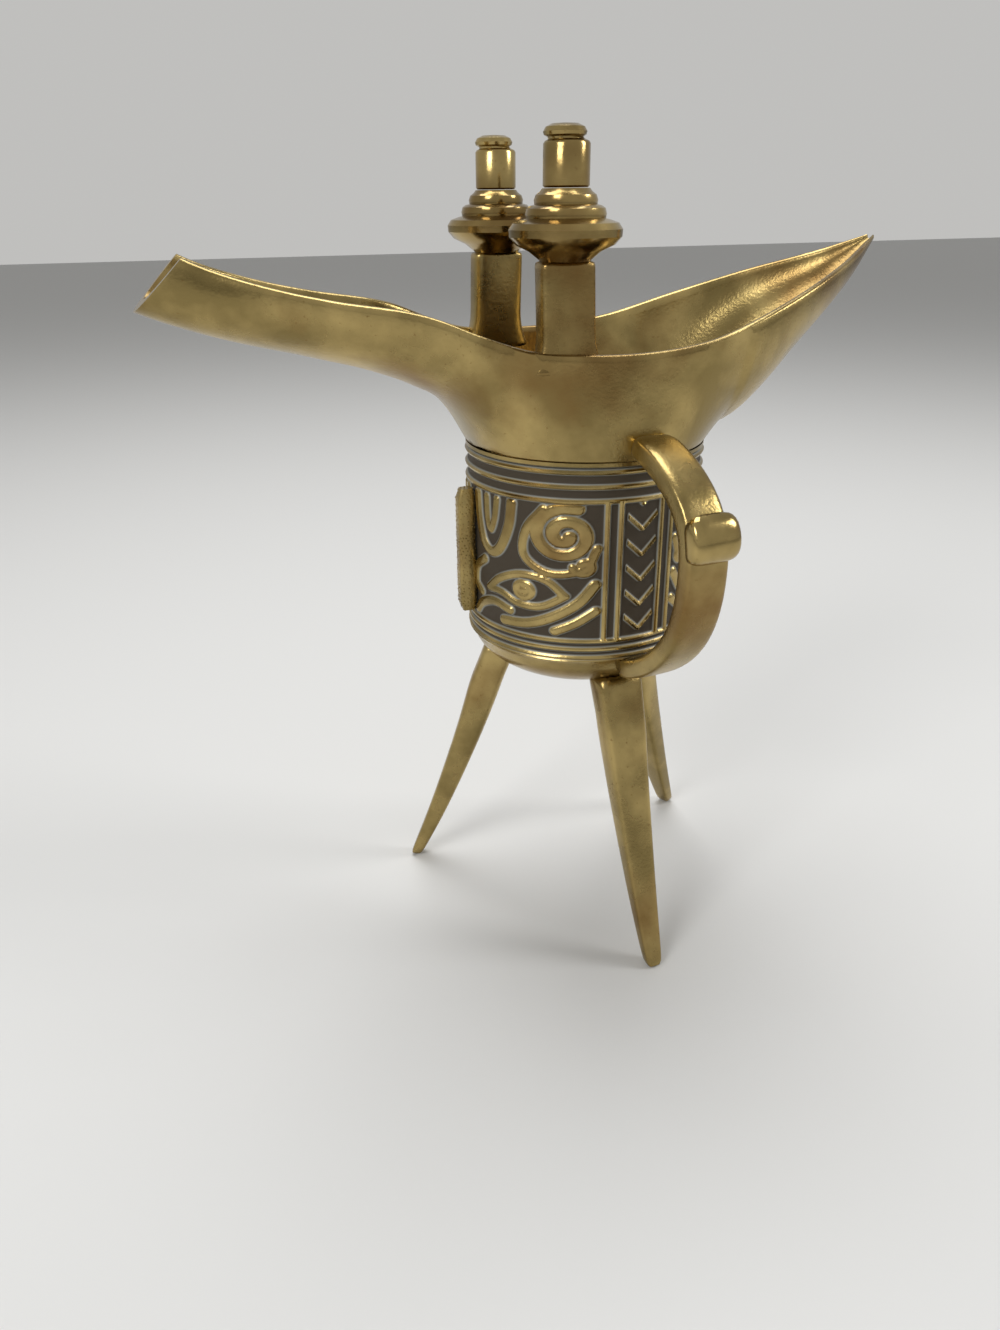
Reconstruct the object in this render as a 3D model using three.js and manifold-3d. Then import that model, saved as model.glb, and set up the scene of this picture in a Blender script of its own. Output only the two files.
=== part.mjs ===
// A cast brass jue, a three-legged wine vessel with an open spout and a pointed tail.
// Millimetres, +Z up. The spout points to -X, the tail to +X and the handle to -Y.
import * as THREE from 'three';
import { mergeVertices } from 'three/addons/utils/BufferGeometryUtils.js';
import Module from 'manifold-3d';

const wasm = await Module();
wasm.setup();

// Driving dimensions
const seamGap = 0.3;          // left between two pieces that touch
const wall = 2.0;             // cast wall of the cup and the mouth
const footRadius = 40.5;      // cup axis to the middle of a foot
const bowlBottom = 57;        // lowest point of the bowl
const bandBottom = 68;        // where the bowl turns into the ornamented band
const bandRadius = 24.6;      // outside of the band
const neckHeight = 108.7;     // where the cup ends and the mouth begins
const neckRadius = 24.6;
const borderHeight = 0.6;     // how far a border line stands out of the band
const spoutReach = 85;        // cup axis to the tip of the spout
const tailReach = 65;         // cup axis to the tip of the tail
const rimHeight = 127.8;      // lowest point of the rim, beside the posts
const mouthHalfWidth = 25.2;  // half the mouth's width, rim to rim
const spoutHalfWidth = 8.8;   // half the spout's width at its open end
const spoutRise = 15.5;       // how far the spout's rim climbs
const tailRise = 17.7;        // how far the tail's rim climbs
const postX = -12.5;
const postFootY = 21.2;
const postTopY = 18.3;
const postTop = 143.4;
const postWidth = 10.4;
const postThickness = 5.4;
const finialRadius = 10;
const knobRadius = 4;
const knobHeight = 9.7;
const finialHeight = 11.4;
const handleAngle = -84;
const handleWidth = 9;
const handleThickness = 4.6;
const handleReach = 44.5;
const legWidth = 9.6;
const legTipWidth = 3.4;
const flangeThickness = 3;
const flangeReach = 3.4;
const roundSteps = 40;
const sectionSteps = 7;
const lengthSteps = 38;

const brass = (name, color, roughness) =>
  new THREE.MeshStandardMaterial({ name, color, roughness, metalness: 1 });
const castBrass = brass('cast_brass', 0xa88a45, 0.38);
const polishedBrass = brass('polished_brass', 0xb79a52, 0.22);

function toManifold(geometry) {
  const bare = geometry.clone();
  for (const name of ['normal', 'uv', 'color']) bare.deleteAttribute(name);
  const merged = mergeVertices(bare.index ? bare.toNonIndexed() : bare, 1e-4);
  return new wasm.Manifold(new wasm.Mesh({
    numProp: 3,
    vertProperties: new Float32Array(merged.attributes.position.array),
    triVerts: new Uint32Array(merged.index.array),
  }));
}

function toGeometry(solid) {
  const { vertProperties, triVerts } = solid.getMesh();
  const geometry = new THREE.BufferGeometry();
  geometry.setAttribute('position', new THREE.BufferAttribute(new Float32Array(vertProperties), 3));
  geometry.setIndex(Array.from(triVerts));
  geometry.computeVertexNormals();
  return geometry;
}

// What is left of a piece after a cut can fall apart: the main part stays
function largest(solid) {
  return solid.decompose().sort((a, b) => b.volume() - a.volume())[0];
}

const group = new THREE.Group();
function addPiece(name, solid, material) {
  const mesh = new THREE.Mesh(toGeometry(solid), material);
  mesh.name = name;
  group.add(mesh);
}

// Straight lines through [at, value] pairs, eased so that the curve has no corners
function through(pairs, at) {
  if (at <= pairs[0][0]) return pairs[0][1];
  for (let i = 1; i < pairs.length; i += 1) {
    const [a, va] = pairs[i - 1];
    const [b, vb] = pairs[i];
    if (at <= b) {
      const before = i > 1 ? (vb - pairs[i - 2][1]) / (b - pairs[i - 2][0]) : (vb - va) / (b - a);
      const after = i < pairs.length - 1
        ? (pairs[i + 1][1] - va) / (pairs[i + 1][0] - a) : (vb - va) / (b - a);
      const t = (at - a) / (b - a);
      const span = b - a;
      return va * (2 * t ** 3 - 3 * t * t + 1) + vb * (3 * t * t - 2 * t ** 3)
        + span * before * (t ** 3 - 2 * t * t + t) + span * after * (t ** 3 - t * t);
    }
  }
  return pairs[pairs.length - 1][1];
}

// A closed solid through rings of equal point counts, with flat ends
function loft(rings) {
  const count = rings[0].length;
  const points = rings.flat();
  const faces = [];
  for (let i = 0; i < rings.length - 1; i += 1) {
    for (let j = 0; j < count; j += 1) {
      const k = (j + 1) % count;
      const a = i * count + j;
      const b = i * count + k;
      faces.push(a, b, b + count, a, b + count, a + count);
    }
  }
  const end = (rings.length - 1) * count;
  for (const [offset, flip] of [[0, true], [end, false]]) {
    const middle = points.length;
    const centre = new THREE.Vector3();
    for (let j = 0; j < count; j += 1) centre.add(points[offset + j]);
    points.push(centre.divideScalar(count));
    for (let j = 0; j < count; j += 1) {
      const k = (j + 1) % count;
      if (flip) faces.push(middle, offset + k, offset + j);
      else faces.push(middle, offset + j, offset + k);
    }
  }
  const geometry = new THREE.BufferGeometry().setFromPoints(points);
  geometry.setIndex(faces);
  let solid = toManifold(geometry);
  if (solid.volume() < 0) {
    for (let i = 0; i < faces.length; i += 3) [faces[i], faces[i + 1]] = [faces[i + 1], faces[i]];
    geometry.setIndex(faces);
    solid = toManifold(geometry);
  }
  return solid;
}

// A turned solid: [radius, height] pairs, from the axis to the axis
function turned(profile, steps = roundSteps) {
  const geometry = new THREE.LatheGeometry(profile.map(([r, z]) => new THREE.Vector2(r, z)), steps);
  geometry.rotateX(Math.PI / 2);
  let solid = toManifold(geometry);
  if (solid.volume() < 0) {
    geometry.scale(1, -1, 1);
    solid = toManifold(geometry);
  }
  return solid;
}

// Cup: a bowl, the band with its border lines, and an open top
const bowlDepth = bandBottom - bowlBottom;
function bowlCurve(grow, steps = 7) {
  const pairs = [];
  for (let i = 0; i <= steps; i += 1) {
    const angle = (i / steps) * Math.PI / 2;
    const radius = (bandRadius - 0.8 + grow) * Math.sin(angle);
    pairs.push([radius, bandBottom - (bowlDepth + grow) * Math.cos(angle)]);
  }
  return pairs;
}
const lowBorders = [bandBottom + 0.8, bandBottom + 2.6, bandBottom + 4.4];
const highBorders = [neckHeight - 7.4, neckHeight - 4.6, neckHeight - 1.8];
const borderHalf = 0.55;
function borderLines(heights) {
  return heights.flatMap((z) => [
    [bandRadius, z - borderHalf], [bandRadius + borderHeight, z], [bandRadius, z + borderHalf]]);
}
const cupOutside = [...bowlCurve(0), ...borderLines(lowBorders), ...borderLines(highBorders)];
const cupInside = bowlCurve(-wall).reverse();
const cup = turned([...cupOutside, [neckRadius, neckHeight], [neckRadius - wall, neckHeight],
  [bandRadius - 0.8 - wall, bandBottom + 4], ...cupInside]);
const cupCutter = turned([...bowlCurve(seamGap), [bandRadius + borderHeight + seamGap, bandBottom],
  [bandRadius + borderHeight + seamGap, neckHeight + seamGap],
  [0, neckHeight + seamGap]]);
addPiece('cup_body', cup, castBrass);

// Mouth: cross-sections along X, a U under the spout and the tail, open to the cup between them
const mouthBottom = neckHeight + seamGap;
const keel = [[-spoutReach, mouthBottom + 27.6], [-57, mouthBottom + 19], [-44, mouthBottom + 15.4],
  [-36.7, mouthBottom + 12.5], [-29.9, mouthBottom + 8.2], [-26.6, mouthBottom + 3.6],
  [-neckRadius, mouthBottom], [neckRadius, mouthBottom], [28.8, mouthBottom + 1.6],
  [32, mouthBottom + 4], [41, mouthBottom + 12.8], [50, mouthBottom + 20.6], [56.7, mouthBottom + 26.4],
  [tailReach, mouthBottom + 35.5]];
const rimTop = [[-spoutReach, rimHeight + spoutRise + 1.6], [-78, rimHeight + spoutRise],
  [-53, rimHeight + 10], [-35, rimHeight + 6.4], [-28, rimHeight + 3], [-20, rimHeight + 0.4],
  [0, rimHeight], [15, rimHeight + 1.6], [30, rimHeight + 6], [45, rimHeight + 10.8],
  [57, rimHeight + 14.6], [tailReach, rimHeight + tailRise]];
const rimHalf = [[-spoutReach, spoutHalfWidth - 0.6], [-78, spoutHalfWidth], [-66, spoutHalfWidth + 2.7],
  [-53, spoutHalfWidth + 4.7], [-35, mouthHalfWidth - 9.2], [-28, mouthHalfWidth - 6.4],
  [-20, mouthHalfWidth - 3.4], [-10, mouthHalfWidth - 1], [0, mouthHalfWidth],
  [10, mouthHalfWidth + 0.2], [20, mouthHalfWidth - 1], [30, mouthHalfWidth - 3.6],
  [45, mouthHalfWidth - 10], [57, mouthHalfWidth - 17.6], [tailReach, 1.4]];

const raised = 14;            // how far the cutter for the hollow stands above the rim
const least = 0.3;            // smallest height or width of a cross-section
function mouthSection(x, inset, lidRise) {
  const top = through(rimTop, x);
  const neck = neckRadius - inset;
  const lowHalf = Math.abs(x) < neck ? Math.sqrt(neck * neck - x * x) : 0;
  const inNeck = Math.min(1, lowHalf / (neck * 0.9));
  const bottom = (Math.abs(x) < neckRadius ? mouthBottom : Math.max(through(keel, x), mouthBottom)) + inset;
  const half = Math.max(through(rimHalf, x) - inset, 0.4);
  const low = Math.min(lowHalf, half);
  const side = [];
  for (let j = 0; j <= sectionSteps; j += 1) {
    const t = j / sectionSteps;
    const roundU = Math.sin(t * Math.PI / 2);
    const rise = (1 - Math.cos(t * Math.PI / 2)) * (1 - inNeck) + t * inNeck;
    const out = roundU * (1 - inNeck) + t ** 0.8 * inNeck;
    const depth = Math.max(top - bottom, least);
    side.push([Math.max(low + (half - low) * out, least / 2), top - depth + depth * rise]);
  }
  side.push([side[sectionSteps][0], top + lidRise]);
  const ring = side.map(([y, z]) => new THREE.Vector3(x, y, z));
  for (const [y, z] of side.slice().reverse()) ring.push(new THREE.Vector3(x, -y, z));
  return ring;
}
function mouthSolid(inset, lidRise, from, to) {
  const rings = [];
  for (let i = 0; i <= lengthSteps; i += 1) {
    rings.push(mouthSection(from + (to - from) * (i / lengthSteps), inset, lidRise));
  }
  return loft(rings);
}
function block(width, depth, height, x, y, z, turnY = 0) {
  const geometry = new THREE.BoxGeometry(width, depth, height);
  geometry.rotateY(turnY);
  geometry.translate(x, y, z);
  return toManifold(geometry);
}
// The hollow of the mouth runs down through the neck into the cup
function mouthHollow(inset, lidRise, from, to) {
  const throat = turned([[0, mouthBottom - wall], [neckRadius - inset, mouthBottom - wall],
    [neckRadius - inset, mouthBottom + 2 * wall], [0, mouthBottom + 2 * wall]]);
  return mouthSolid(inset, lidRise, from, to).add(throat);
}
// The spout's open end leans back from its tip to its rim
const endLean = Math.atan2(6.9, 6.7);
const endCut = block(40, 60, 60, -40 / 2, 0, 0).rotate([0, (endLean * 180) / Math.PI, 0])
  .translate([-spoutReach, 0, mouthBottom + 27.6]);
const mouth = mouthSolid(0, 0.05, -spoutReach - 1, tailReach)
  .subtract(mouthHollow(wall, raised, -spoutReach - 8, tailReach - wall * 1.6))
  .subtract(endCut);
addPiece('mouth_shell', mouth, castBrass);
const mouthCutter = mouthSolid(-seamGap, seamGap, -spoutReach - 1, tailReach)
  .subtract(mouthHollow(wall + seamGap, raised, -spoutReach - 8, tailReach - wall * 2));

// A bar with rounded corners, swept along centre points with a width and a thickness at each
const barPoints = 12;
function bar(stations, angle) {
  const turn = (angle * Math.PI) / 180;
  const out = new THREE.Vector3(Math.cos(turn), Math.sin(turn), 0);
  const across = new THREE.Vector3(-Math.sin(turn), Math.cos(turn), 0);
  const up = new THREE.Vector3(0, 0, 1);
  return loft(stations.map(({ r, z, width, thick, tilt }) => {
    const lean = (tilt * Math.PI) / 180;
    const normal = out.clone().multiplyScalar(Math.cos(lean)).addScaledVector(up, Math.sin(lean));
    const middle = out.clone().multiplyScalar(r).addScaledVector(up, z);
    const ring = [];
    for (let j = 0; j < barPoints; j += 1) {
      const a = ((j + 0.5) / barPoints) * 2 * Math.PI;
      const square = (v) => Math.sign(v) * Math.abs(v) ** 0.45;
      ring.push(middle.clone().addScaledVector(across, square(Math.cos(a)) * width / 2)
        .addScaledVector(normal, square(Math.sin(a)) * thick / 2));
    }
    return ring;
  }));
}

// Legs: three blades that taper and curve outwards to flat feet
const legHeights = [[0, footRadius], [12, footRadius - 5.2], [28, footRadius - 11.4],
  [45, footRadius - 17.3], [60, footRadius - 21.6], [66, footRadius - 23]];
function leg(angle) {
  const stations = [];
  const steps = 14;
  const top = bandBottom - 7.5;
  for (let i = 0; i <= steps; i += 1) {
    const z = (top * i) / steps;
    const t = Math.min(z / 50, 1);
    const width = legTipWidth + (legWidth - legTipWidth) * t ** 0.8;
    const root = 1 - 0.15 * Math.max(0, (z - 48) / (top - 48));
    stations.push({ r: through(legHeights, z) - 1.5 * (1 - root), z, width, thick: width * 0.8 * root, tilt: 0 });
  }
  return bar(stations, angle);
}
for (const [name, angle] of [['front_leg', -87], ['left_leg', 153], ['right_leg', 27]]) {
  addPiece(name, largest(leg(angle).subtract(cupCutter)), castBrass);
}

// Handle: a strap off the neck, a thumb rest, and a thick band down to the bowl
const handleTop = neckHeight + 3.6;
const handleFoot = bandBottom - 3.6;
const handlePath = [
  [neckRadius - 2, handleTop, 60], [neckRadius + 5, handleTop - 1.4, 62], [neckRadius + 12, handleTop - 5, 48],
  [handleReach - 3.2, handleTop - 9, 36], [handleReach - 0.6, handleTop - 14, 6], [handleReach - 0.4, handleTop - 20, 0],
  [handleReach - 1, handleTop - 27, -8], [handleReach - 3.6, handleTop - 34, -28],
  [handleReach - 8.6, handleTop - 40, -48], [handleReach - 15, handleTop - 44.4, -66],
  [neckRadius - 4, handleFoot, -74]];
const handleBar = bar(handlePath.map(([r, z, tilt]) => ({ r, z, tilt, width: handleWidth, thick: handleThickness })),
  handleAngle);
const handle = handleBar.subtract(cupCutter).subtract(mouthCutter).subtract(mouthSolid(wall, 0, -30, 30));
const thumbAt = handleReach + handleThickness / 2 - 0.6;
const thumbRest = bar([
  { r: thumbAt, z: handleTop - 17.5, width: handleWidth + 0.6, thick: 3.4, tilt: 0 },
  { r: thumbAt + 1, z: handleTop - 14.6, width: handleWidth + 1.2, thick: 5, tilt: 10 },
  { r: thumbAt, z: handleTop - 11.4, width: handleWidth + 1.2, thick: 5, tilt: 26 },
  { r: thumbAt - 1.4, z: handleTop - 9, width: handleWidth + 0.6, thick: 3.4, tilt: 36 }], handleAngle)
  .subtract(bar(handlePath.map(([r, z, tilt]) => ({
    r, z, tilt, width: handleWidth + 2 * seamGap + 4, thick: handleThickness + 2 * seamGap })), handleAngle));
addPiece('handle_band', largest(handle), castBrass);
addPiece('thumb_rest', largest(thumbRest), polishedBrass);

// Posts, with a finial and a knob on each
function post(side) {
  const rings = [];
  const steps = 8;
  for (let i = 0; i <= steps; i += 1) {
    const t = i / steps;
    const z = rimHeight - 9 + (postTop - rimHeight + 9) * t;
    const spread = 1 + 0.5 * Math.max(0, 1 - t * 2) ** 2;
    const y = side * (postFootY + (postTopY - postFootY) * t);
    const ring = [];
    for (let j = 0; j < barPoints; j += 1) {
      const a = ((j + 0.5) / barPoints) * 2 * Math.PI;
      const square = (v) => Math.sign(v) * Math.abs(v) ** 0.45;
      ring.push(new THREE.Vector3(postX + square(Math.cos(a)) * postWidth / 2 * spread,
        y + square(Math.sin(a)) * postThickness / 2, z));
    }
    rings.push(ring);
  }
  const whole = loft(rings).subtract(mouthCutter);
  return largest(whole);
}
const finialBase = postTop + seamGap;
const finialProfile = [[0, 0], [5, 0], [5.2, 0.8], [finialRadius - 1.6, 2.6], [finialRadius, 4.4],
  [finialRadius - 0.4, 5.8], [finialRadius - 2.4, 6.6], [7, 7], [7.1, 8.2], [6.4, 9], [5.4, 9.3],
  [5.4, 10.4], [4.8, finialHeight], [0, finialHeight]];
const knobBase = finialBase + finialHeight + seamGap;
const knobProfile = [[0, 0], [knobRadius, 0], [knobRadius, knobHeight - 3], [knobRadius - 0.5, knobHeight - 2.6],
  [knobRadius - 0.9, knobHeight - 2.3], [knobRadius - 0.4, knobHeight - 1.9], [knobRadius - 0.5, knobHeight - 0.8],
  [knobRadius - 1.6, knobHeight - 0.15], [0, knobHeight]];
for (const [name, side] of [['near', -1], ['far', 1]]) {
  addPiece(`${name}_post`, post(side), castBrass);
  addPiece(`${name}_finial`, turned(finialProfile, 32).translate([postX, side * postTopY, finialBase]), polishedBrass);
  addPiece(`${name}_knob`, turned(knobProfile, 24).translate([postX, side * postTopY, knobBase]), polishedBrass);
}

// Flanges: cast ribs down the band, under the spout and under the tail
const flangeHigh = neckHeight - 8.6;
const flangeLow = bandBottom + 5.6;
const flangeDeep = 3;         // starts inside the band's own radius and is cut back from it
for (const [name, angle] of [['spout_flange', 180], ['tail_flange', 0]]) {
  const middle = bandRadius + (flangeReach - flangeDeep) / 2;
  const stations = [flangeLow, flangeLow + 1.4, flangeHigh - 1.4, flangeHigh].map((z, i) => ({
    r: middle - (i % 3 === 0 ? 0.7 : 0), z, width: flangeThickness,
    thick: flangeReach + flangeDeep, tilt: 0 }));
  addPiece(name, bar(stations, angle).subtract(turned([[0, flangeLow - 3], [bandRadius + seamGap, flangeLow - 3],
    [bandRadius + seamGap, flangeHigh + 3], [0, flangeHigh + 3]])), castBrass);
}

// The origin moves to the middle of the footprint, at the height of the feet
const bounds = new THREE.Box3().setFromObject(group);
const middle = bounds.getCenter(new THREE.Vector3());
group.position.set(-middle.x, -middle.y, -bounds.min.z);
group.updateMatrixWorld(true);
const span = bounds.getSize(new THREE.Vector3());
console.log(`jue ${span.x.toFixed(1)} x ${span.y.toFixed(1)} x ${span.z.toFixed(1)} mm`);
console.log(`cup axis at ${(-middle.x).toFixed(2)}, ${(-middle.y).toFixed(2)}`);
export default group;
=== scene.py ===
# %% [markdown]
# This lesson builds a cast brass jue, a small three-legged wine vessel with an open spout on one
# side and a pointed tail on the other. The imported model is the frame: it says where the cup stands
# and how large everything is. Every piece below is worked out in millimetres around the cup's own
# axis, and one helper then carries it to its place in metres.

# %% Load the frame
import bpy
import math
import numpy as np
from mathutils import Matrix, Vector


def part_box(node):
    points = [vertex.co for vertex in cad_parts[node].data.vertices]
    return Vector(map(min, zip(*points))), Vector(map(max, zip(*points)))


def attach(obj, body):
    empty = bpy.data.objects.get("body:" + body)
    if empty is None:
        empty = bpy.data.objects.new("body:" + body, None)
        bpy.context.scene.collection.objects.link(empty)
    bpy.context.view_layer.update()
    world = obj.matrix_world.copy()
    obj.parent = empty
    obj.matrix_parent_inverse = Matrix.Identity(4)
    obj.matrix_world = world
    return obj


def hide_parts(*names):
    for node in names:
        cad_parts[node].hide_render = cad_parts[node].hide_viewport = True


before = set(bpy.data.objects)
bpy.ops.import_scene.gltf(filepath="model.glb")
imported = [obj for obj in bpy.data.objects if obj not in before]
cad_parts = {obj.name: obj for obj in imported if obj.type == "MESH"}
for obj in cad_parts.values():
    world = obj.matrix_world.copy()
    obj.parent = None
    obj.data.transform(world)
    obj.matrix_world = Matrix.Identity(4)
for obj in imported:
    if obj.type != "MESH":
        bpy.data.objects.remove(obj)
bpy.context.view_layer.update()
low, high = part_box("cup_body")
MM = 0.001
AXIS = ((low[0] + high[0]) / 2, (low[1] + high[1]) / 2)
print("cup axis", [round(v, 4) for v in AXIS])

# %% [markdown]
# The camera stands where the picture was taken from: about as high as the finials and close by,
# looking down, with the spout to the left and the handle right of the middle. Its place is given
# as a turn round the cup, a distance and a height, because these can be read and changed one by
# one. The lens follows from the picture's long side.

# %% Camera direction
CAMERA_TURN = -23.9
CAMERA_AWAY = 210 * MM
CAMERA_HIGH = 154 * MM
CAMERA_YAW = 4.9
CAMERA_DOWN = 25.1
CAMERA_ROLL = -0.6


def camera_axes():
    """The camera's place, and its right, up and forward directions."""
    turn = math.radians(CAMERA_TURN)
    place = Vector((math.sin(turn) * CAMERA_AWAY, -math.cos(turn) * CAMERA_AWAY, CAMERA_HIGH))
    heading = turn + math.radians(CAMERA_YAW)
    down = math.radians(CAMERA_DOWN)
    level = Vector((-math.sin(heading), math.cos(heading), 0))
    forward = level * math.cos(down) + Vector((0, 0, -math.sin(down)))
    right = forward.cross(Vector((0, 0, 1))).normalized()
    up = right.cross(forward)
    roll = math.radians(CAMERA_ROLL)
    rolled_right = right * math.cos(roll) + up * math.sin(roll)
    rolled_up = up * math.cos(roll) - right * math.sin(roll)
    return place, rolled_right, rolled_up, forward


place, right, up, forward = camera_axes()
print("camera looks along", [round(v, 3) for v in forward])

# %% Camera and lens
PICTURE_HIGH = 1330
FOCAL_PIXELS = 1000
SENSOR = 36
NEAREST = 0.01

camera_data = bpy.data.cameras.new("camera")
camera_data.sensor_width = SENSOR
camera_data.lens = FOCAL_PIXELS / PICTURE_HIGH * SENSOR
camera_data.clip_start = NEAREST
camera = bpy.data.objects.new("camera", camera_data)
facing = Matrix((right, up, -forward)).transposed().to_4x4()
camera.matrix_world = Matrix.Translation(place + Vector((AXIS[0], AXIS[1], 0))) @ facing
bpy.context.scene.collection.objects.link(camera)
bpy.context.scene.camera = camera
print("lens", round(camera_data.lens, 2), "mm")

# %% [markdown]
# Polished brass is a mirror with a history. Its colour drifts between yellow, olive and brown
# tarnish, fine casting specks break the shine, and what the polishing cloth can't reach stays
# dark, with a thin grey residue along the edges of the relief. An image could hold all this, but
# noise on object coordinates gives it at any size and from any side. A few helpers keep the node
# trees short. A Mix node has sockets for several kinds of value, so its colours go by number.

# %% Node helpers
MIX_FIRST, MIX_SECOND, MIX_RESULT = 6, 7, 2


def node(tree, kind, **values):
    """A new node with some inputs or settings filled in."""
    made = tree.nodes.new(kind)
    for key, value in values.items():
        if key in made.inputs:
            made.inputs[key].default_value = value
        else:
            setattr(made, key, value)
    return made


def mix_colour(tree, factor, first, second):
    """Goes from the first colour to the second as factor goes from 0 to 1."""
    mix = tree.nodes.new("ShaderNodeMix")
    mix.data_type = "RGBA"
    for index, value in ((MIX_FIRST, first), (MIX_SECOND, second)):
        if isinstance(value, tuple):
            mix.inputs[index].default_value = value
        else:
            tree.links.new(value, mix.inputs[index])
    tree.links.new(factor, mix.inputs[0])
    return mix.outputs[MIX_RESULT]


def ramp(tree, source, start, end, at_start=0.0, at_end=1.0):
    """Spreads a stretch of the source over another range."""
    made = node(tree, "ShaderNodeMapRange")
    made.inputs["From Min"].default_value = start
    made.inputs["From Max"].default_value = end
    made.inputs["To Min"].default_value = at_start
    made.inputs["To Max"].default_value = at_end
    tree.links.new(source, made.inputs["Value"])
    return made.outputs["Result"]


def noise(tree, coordinates, scale, detail):
    made = node(tree, "ShaderNodeTexNoise", Scale=scale, Detail=detail)
    tree.links.new(coordinates, made.inputs["Vector"])
    return made.outputs["Fac"]


print("node helpers ready")

# %% [markdown]
# The brass itself has three layers. Broad clouds swing the colour between olive and yellow and
# the roughness with it, patches of tarnish lie over them, and specks a fraction of a millimetre
# wide carry both a darker tint and the bump. Each layer has a pair of noise values between which
# it comes in.

# %% Brass
YELLOW = (0.47, 0.35, 0.14, 1)
OLIVE = (0.25, 0.185, 0.07, 1)
TARNISH = (0.21, 0.125, 0.042, 1)
CLOUDS_PER_METRE, PATCHES_PER_METRE, SPECKS_PER_METRE = 70, 38, 1500
CLOUD_EDGES, PATCH_EDGES, SPECK_EDGES = (0.38, 0.62), (0.50, 0.68), (0.66, 0.8)
DULLING = 0.18
DULLING_EDGES = (0.2, 0.9)
SPECK_DEPTH = 0.2 * MM


def brass_layers(tree, rough, bump):
    """The plain brass: its colour and roughness outputs, with the bump already linked."""
    coordinates = node(tree, "ShaderNodeTexCoord").outputs["Object"]
    cloud = noise(tree, coordinates, CLOUDS_PER_METRE, detail=5)
    patch = noise(tree, coordinates, PATCHES_PER_METRE, detail=6)
    speck = noise(tree, coordinates, SPECKS_PER_METRE, detail=3)
    colour = mix_colour(tree, ramp(tree, cloud, *CLOUD_EDGES), OLIVE, YELLOW)
    colour = mix_colour(tree, ramp(tree, patch, *PATCH_EDGES), colour, TARNISH)
    colour = mix_colour(tree, ramp(tree, speck, *SPECK_EDGES), colour, TARNISH)
    roughness = ramp(tree, cloud, *DULLING_EDGES, rough, rough + DULLING)
    bumps = node(tree, "ShaderNodeBump", Strength=bump, Distance=SPECK_DEPTH)
    tree.links.new(speck, bumps.inputs["Height"])
    tree.links.new(bumps.outputs["Normal"], tree.nodes["Principled BSDF"].inputs["Normal"])
    return colour, roughness


print("brass from", OLIVE[:3], "to", YELLOW[:3])

# %% [markdown]
# On the ornament a float attribute named worn says how high each point stands: 1 on top of a
# stroke, 0 in the ground. Painting by height is what polishing does to a real relief. The tops
# keep the brass, the slopes hold the grey residue, and the ground goes dark and dull.

# %% Materials
RECESS = (0.050, 0.036, 0.020, 1)
RESIDUE = (0.33, 0.34, 0.31, 1)
RECESS_ROUGHNESS = 0.7
RESIDUE_EDGES, RECESS_EDGES = (0.62, 0.3), (0.34, 0.1)
METAL_EDGES, DULL_EDGES = (0.1, 0.6), (0.65, 0.2)


def brass_material(name, rough, bump, ornament=False):
    material = bpy.data.materials.new(name)
    material.use_nodes = True
    tree = material.node_tree
    shader = tree.nodes["Principled BSDF"]
    shader.inputs["Metallic"].default_value = 1.0
    colour, roughness = brass_layers(tree, rough, bump)
    if ornament:
        worn = node(tree, "ShaderNodeAttribute", attribute_name="worn").outputs["Fac"]
        colour = mix_colour(tree, ramp(tree, worn, *RESIDUE_EDGES), colour, RESIDUE)
        colour = mix_colour(tree, ramp(tree, worn, *RECESS_EDGES), colour, RECESS)
        tree.links.new(ramp(tree, worn, *METAL_EDGES), shader.inputs["Metallic"])
        roughness = ramp(tree, worn, *DULL_EDGES, rough, RECESS_ROUGHNESS)
    tree.links.new(colour, shader.inputs["Base Color"])
    tree.links.new(roughness, shader.inputs["Roughness"])
    return material


cast = brass_material("cast_brass", rough=0.2, bump=0.25)
polished = brass_material("polished_brass", rough=0.1, bump=0.1)
ornate = brass_material("ornament_brass", rough=0.24, bump=0.2, ornament=True)
print("materials", [m.name for m in bpy.data.materials])

# %% [markdown]
# Most pieces here are rings of points joined into a skin. Metaballs or sculpting could give the
# same forms, but rings keep every size a number that can be changed. One helper makes the object,
# gives it its material and turns its faces outwards, and another hands the piece to the frame: it
# hangs the piece on its body and hides the part of the frame that the piece stands for.

# %% Object helpers
def new_object(name, points, faces):
    """A mesh object from points in millimetres round the cup's axis."""
    mesh = bpy.data.meshes.new(name)
    placed = np.asarray(points, float) * MM + np.array([AXIS[0], AXIS[1], 0])
    mesh.from_pydata(placed.tolist(), [], faces)
    mesh.validate()
    made = bpy.data.objects.new(name, mesh)
    bpy.context.scene.collection.objects.link(made)
    return made


def face_outwards(made):
    bpy.context.view_layer.objects.active = made
    made.select_set(True)
    bpy.ops.object.mode_set(mode="EDIT")
    bpy.ops.mesh.select_all(action="SELECT")
    bpy.ops.mesh.normals_make_consistent(inside=False)
    bpy.ops.object.mode_set(mode="OBJECT")


def make_piece(name, points, faces, material, smooth_angle=40, levels=0, worn=None):
    """A piece with its material and shading: levels says how often it is subdivided."""
    piece = new_object(name, points, faces)
    if worn is not None:
        layer = piece.data.attributes.new("worn", "FLOAT", "POINT")
        layer.data.foreach_set("value", np.asarray(worn, np.float32))
    piece.data.materials.append(material)
    face_outwards(piece)
    bpy.ops.object.shade_smooth_by_angle(angle=math.radians(smooth_angle))
    piece.select_set(False)
    if levels:
        modifier = piece.modifiers.new("soften", "SUBSURF")
        modifier.levels = levels
        modifier.render_levels = levels
    return piece


def hand_over(piece, cad_node):
    """Hides the frame's part that the piece stands for and hangs the piece on the root body, which
    carries it.
    """
    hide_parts(cad_node)
    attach(piece, "root")
    print(piece.name, len(piece.data.polygons), "faces")


print("object helpers ready")


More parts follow.
